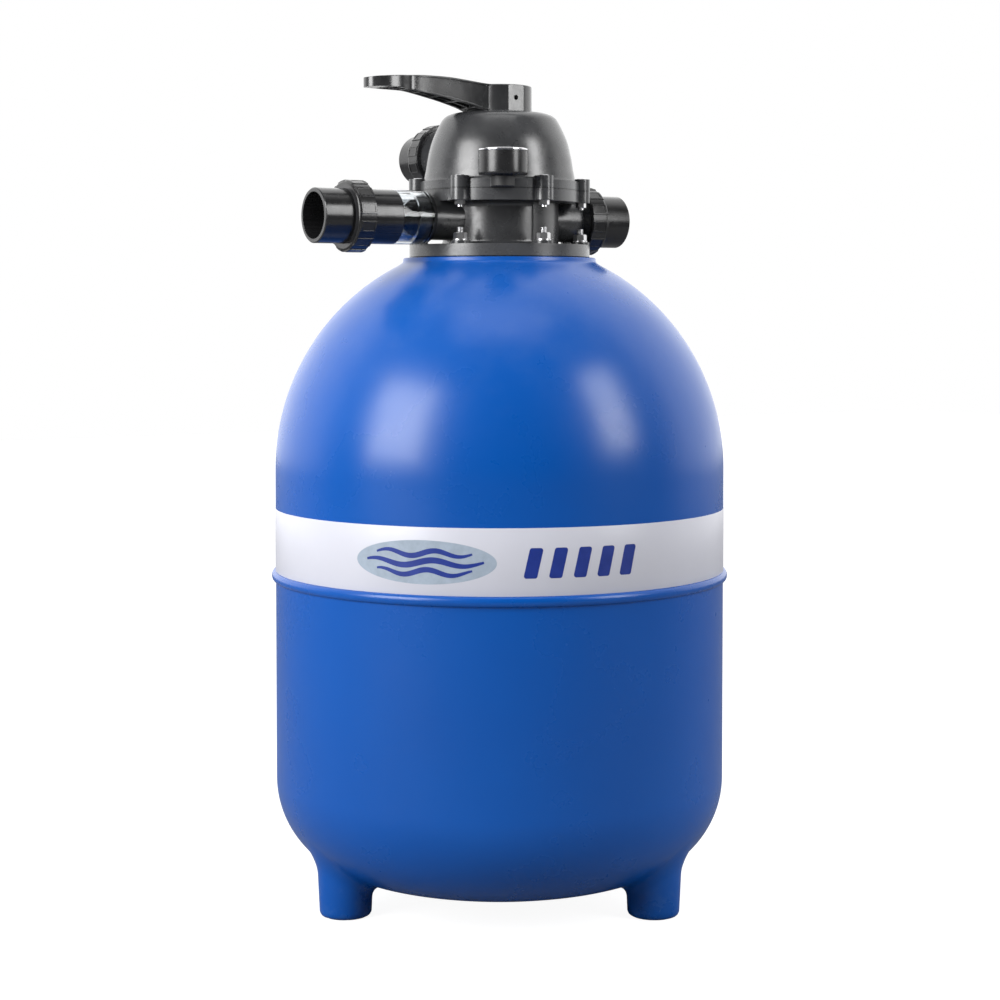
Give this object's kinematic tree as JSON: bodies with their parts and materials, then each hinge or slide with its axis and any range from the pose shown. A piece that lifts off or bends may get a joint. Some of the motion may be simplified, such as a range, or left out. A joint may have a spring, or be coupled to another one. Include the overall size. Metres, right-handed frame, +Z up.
{
  "type": "sand filter tank",
  "caption": "Upright moulded sand filter tank on stub feet, with a top-mounted multiport valve, lever handle, pressure gauge, clear sight tube and pipe unions.",
  "frame": {"origin": "on the tank's axis at floor level, at the underside of the feet", "axes": "+Z up the tank's axis; +X along the return port; -X along the waste port with the sight glass; +Y along the pump port on the valve cover"},
  "size_m": [0.5089, 0.509, 0.9108],
  "materials": {
    "tank_blue": "gloss",
    "band_white": "satin",
    "sand": "matte",
    "white_pvc": "satin",
    "white_abs": "satin",
    "stainless": "satin",
    "seal_rubber": "matte",
    "valve_grey": "satin",
    "clear_acrylic": "gloss",
    "union_black": "gloss",
    "washer_plastic": "satin",
    "handle_black": "satin",
    "gauge_black": "satin",
    "chrome_trim": "polished",
    "clear_lens": "gloss",
    "dial_white": "matte",
    "brass": "satin",
    "needle_black": "satin"
  },
  "bodies": {
    "filter": {"bushing_oring": "seal_rubber", "cover_nuts": "stainless", "cover_oring": "seal_rubber", "cover_screws": "stainless", "cover_washers": "stainless", "flange_nuts": "stainless", "flange_washers": "stainless", "gauge_bezel": "chrome_trim", "gauge_case": "gauge_black", "gauge_dial": "dial_white", "gauge_lens": "clear_lens", "gauge_movement": "brass", "gauge_stem": "brass", "label_band": "band_white", "lateral_caps": "white_abs", "lateral_hub": "white_abs", "laterals": "white_abs", "neck_gasket": "seal_rubber", "neck_studs": "stainless", "riser_pipe": "white_pvc", "sand_bed": "sand", "sight_glass": "clear_acrylic", "sight_seal": "seal_rubber", "spider_gasket": "seal_rubber", "stem_orings": "seal_rubber", "tank_shell": "tank_blue", "top_diffuser": "white_abs", "union_oring_pump": "seal_rubber", "union_oring_return": "seal_rubber", "union_oring_waste": "seal_rubber", "valve_body": "valve_grey", "valve_cover": "valve_grey", "waste_bushing": "union_black"},
    "selector": {"handle_washer": "washer_plastic", "rotor_spring": "stainless", "spring_washer": "stainless"},
    "rotor": {"rotor": "valve_grey", "handle_pin": "stainless"},
    "handle": {"handle": "handle_black"},
    "gauge_needle": {"gauge_needle": "needle_black"},
    "adapter_waste": {"pipe_adapter_waste": "union_black"},
    "nut_waste": {"union_nut_waste": "union_black"},
    "adapter_return": {"pipe_adapter_return": "union_black"},
    "nut_return": {"union_nut_return": "union_black"},
    "adapter_pump": {"pipe_adapter_pump": "union_black"},
    "nut_pump": {"union_nut_pump": "union_black"}
  },
  "joints": [
    {"name": "selector_turn", "type": "hinge", "parent": "filter", "child": "selector", "pos_m": [0, 0, 0.874], "axis": [0, 0, 1], "continuous": true},
    {"name": "rotor_lift", "type": "slide", "parent": "selector", "child": "rotor", "axis": [0, 0, 1], "range_m": [0, 0.0053], "stiffness_N_per_m": 9000, "springref_m": -0.006, "deforming": ["rotor_spring"]},
    {"name": "handle_tilt", "type": "hinge", "parent": "rotor", "child": "handle", "pos_m": [0, 0, 0.89], "axis": [0, -1, 0], "range_deg": [0, 10]},
    {"name": "gauge_needle_turn", "type": "hinge", "parent": "filter", "child": "gauge_needle", "pos_m": [-0.0554, -0.09596, 0.8216], "axis": [0, 0, -1], "range_deg": [0, 270]},
    {"name": "waste_union_slide", "type": "slide", "parent": "filter", "child": "adapter_waste", "axis": [-1, 0, 0], "range_m": [0, 0.0141]},
    {"name": "waste_union_unscrew", "type": "hinge", "parent": "adapter_waste", "child": "nut_waste", "pos_m": [-0.1756, 0, 0.757], "axis": [-1, 0, 0], "range_deg": [0, 1260]},
    {"name": "return_union_slide", "type": "slide", "parent": "filter", "child": "adapter_return", "axis": [1, 0, 0], "range_m": [0, 0.0141]},
    {"name": "return_union_unscrew", "type": "hinge", "parent": "adapter_return", "child": "nut_return", "pos_m": [0.101, 0, 0.757], "axis": [1, 0, 0], "range_deg": [0, 1260]},
    {"name": "pump_union_slide", "type": "slide", "parent": "filter", "child": "adapter_pump", "axis": [0, 1, 0], "range_m": [0, 0.0141]},
    {"name": "pump_union_unscrew", "type": "hinge", "parent": "adapter_pump", "child": "nut_pump", "pos_m": [0, 0.12, 0.832], "axis": [0, 1, 0], "range_deg": [0, 1260]}
  ],
  "couplings": [
    {"joint": "rotor_lift", "follows": "handle_tilt", "m_per_rad": 0.03},
    {"joint": "waste_union_slide", "follows": "waste_union_unscrew", "m_per_rad": 0.00063662},
    {"joint": "return_union_slide", "follows": "return_union_unscrew", "m_per_rad": 0.00063662},
    {"joint": "pump_union_slide", "follows": "pump_union_unscrew", "m_per_rad": 0.00063662}
  ]
}
